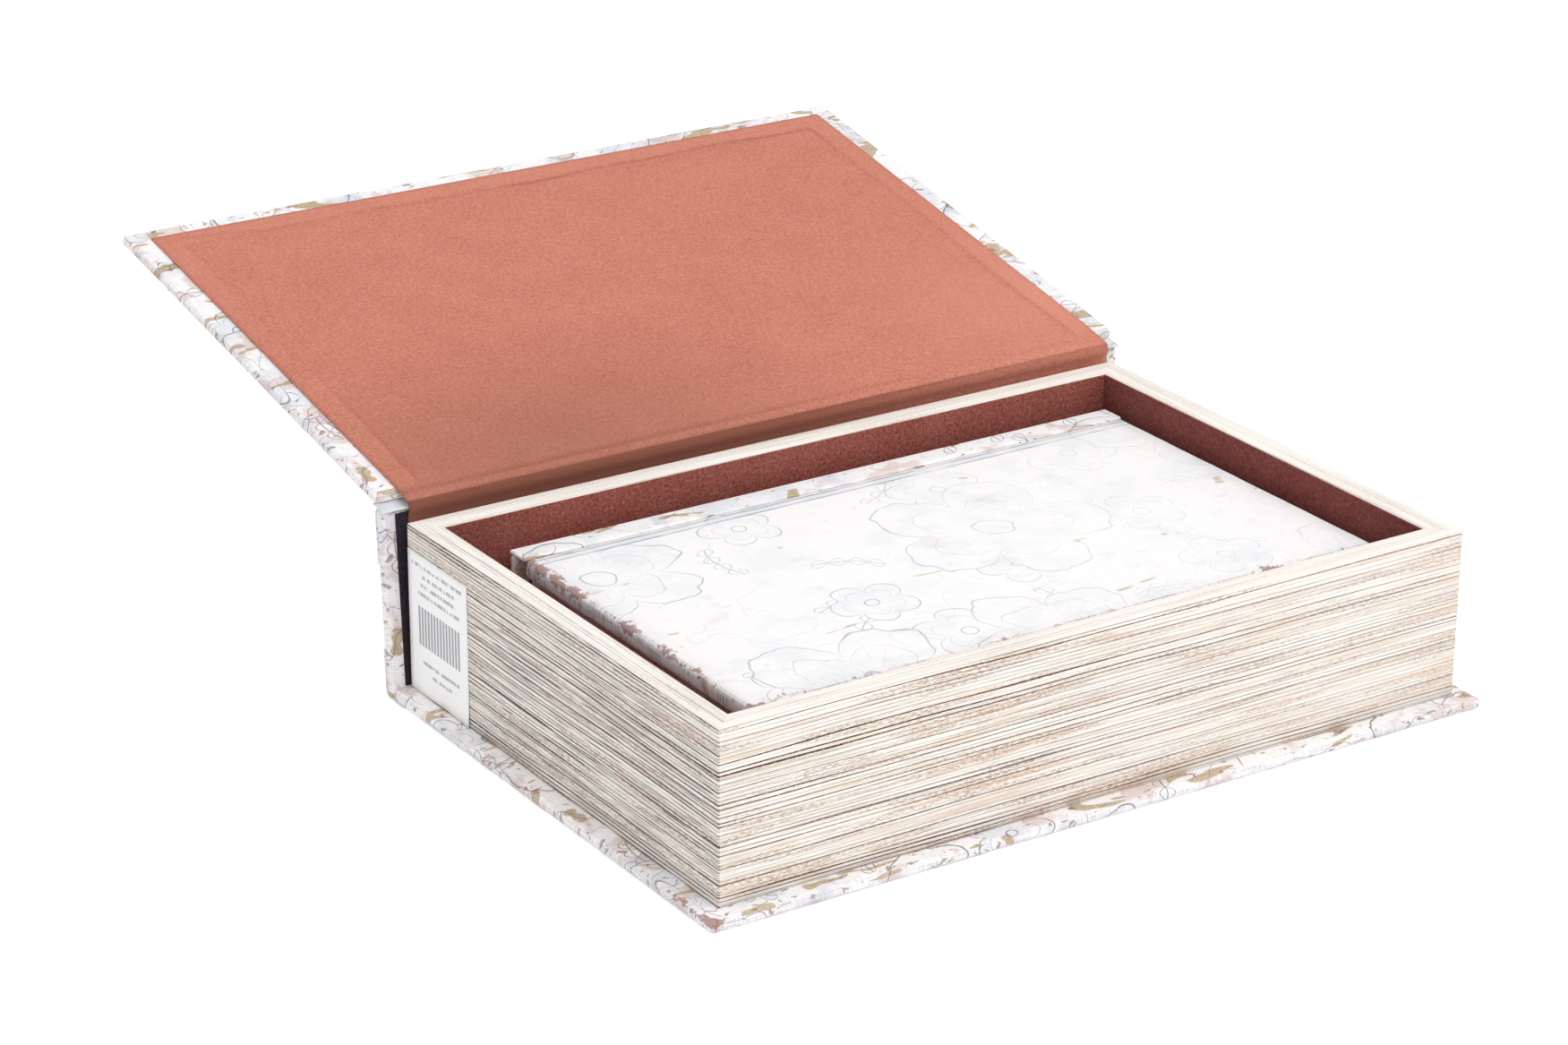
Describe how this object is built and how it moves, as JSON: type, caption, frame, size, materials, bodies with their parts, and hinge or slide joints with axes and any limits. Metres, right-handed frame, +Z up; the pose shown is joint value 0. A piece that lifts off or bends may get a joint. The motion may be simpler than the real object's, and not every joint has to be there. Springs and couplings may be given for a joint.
{
  "type": "book-shaped keepsake box",
  "caption": "Book-shaped keepsake box with a hinged lid and spine, page-edge tray walls, velour lining and a smaller book box of the same make lying inside",
  "frame": {"origin": "middle of the outer tray, on the underside of the bottom board", "axes": "+X along the spine towards the tail end, +Y from the fore edge to the spine, +Z up"},
  "size_m": [0.283, 0.3733, 0.1006],
  "materials": {
    "grey_board": "matt grey board",
    "cover_paper": "printed cover paper with a fine linen emboss, matt",
    "page_paper": "printed page-edge paper, matt",
    "velour": "flocked velour, short nap",
    "label_paper": "smooth white sticker"
  },
  "bodies": {
    "box": {"bottom_board": "grey_board", "bottom_cover": "cover_paper", "tray_floor": "grey_board", "front_wall": "grey_board", "back_wall": "grey_board", "head_wall": "grey_board", "tail_wall": "grey_board", "page_paper": "page_paper", "wall_lining": "velour", "floor_lining": "velour", "label": "label_paper"},
    "spine": {"spine_board": "grey_board", "spine_cover": "cover_paper", "spine_lining": "velour", "hinge_fold": "velour"},
    "lid": {"lid_board": "grey_board", "lid_cover": "cover_paper", "lid_lining": "velour"},
    "inner_box": {"inner_bottom_board": "grey_board", "inner_bottom_cover": "cover_paper", "inner_floor": "grey_board", "inner_front_wall": "grey_board", "inner_back_wall": "grey_board", "inner_head_wall": "grey_board", "inner_tail_wall": "grey_board", "inner_page_paper": "page_paper", "inner_wall_lining": "velour", "inner_floor_lining": "velour", "inner_spine_board": "grey_board", "inner_spine_cover": "cover_paper", "inner_spine_lining": "velour", "inner_hinge_fold": "cover_paper"},
    "inner_lid": {"inner_lid_board": "grey_board", "inner_lid_cover": "cover_paper", "inner_lid_lining": "velour"}
  },
  "joints": [
    {"name": "spine_hinge", "type": "hinge", "parent": "box", "child": "spine", "pos_m": [0, 0.093, 0.002], "axis": [-1, 0, 0], "range_deg": [-3.5, 27]},
    {"name": "lid_hinge", "type": "hinge", "parent": "spine", "child": "lid", "pos_m": [0, 0.09371, 0.06282], "axis": [-1, 0, 0], "range_deg": [-165.7, 0]},
    {"name": "inner_box_lift", "type": "slide", "parent": "box", "child": "inner_box", "axis": [0, 0, 1], "range_m": [0, 0.004]},
    {"name": "inner_lid_hinge", "type": "hinge", "parent": "inner_box", "child": "inner_lid", "pos_m": [0.007, 0.0699, 0.04865], "axis": [-1, 0, 0], "range_deg": [0, 2]}
  ]
}
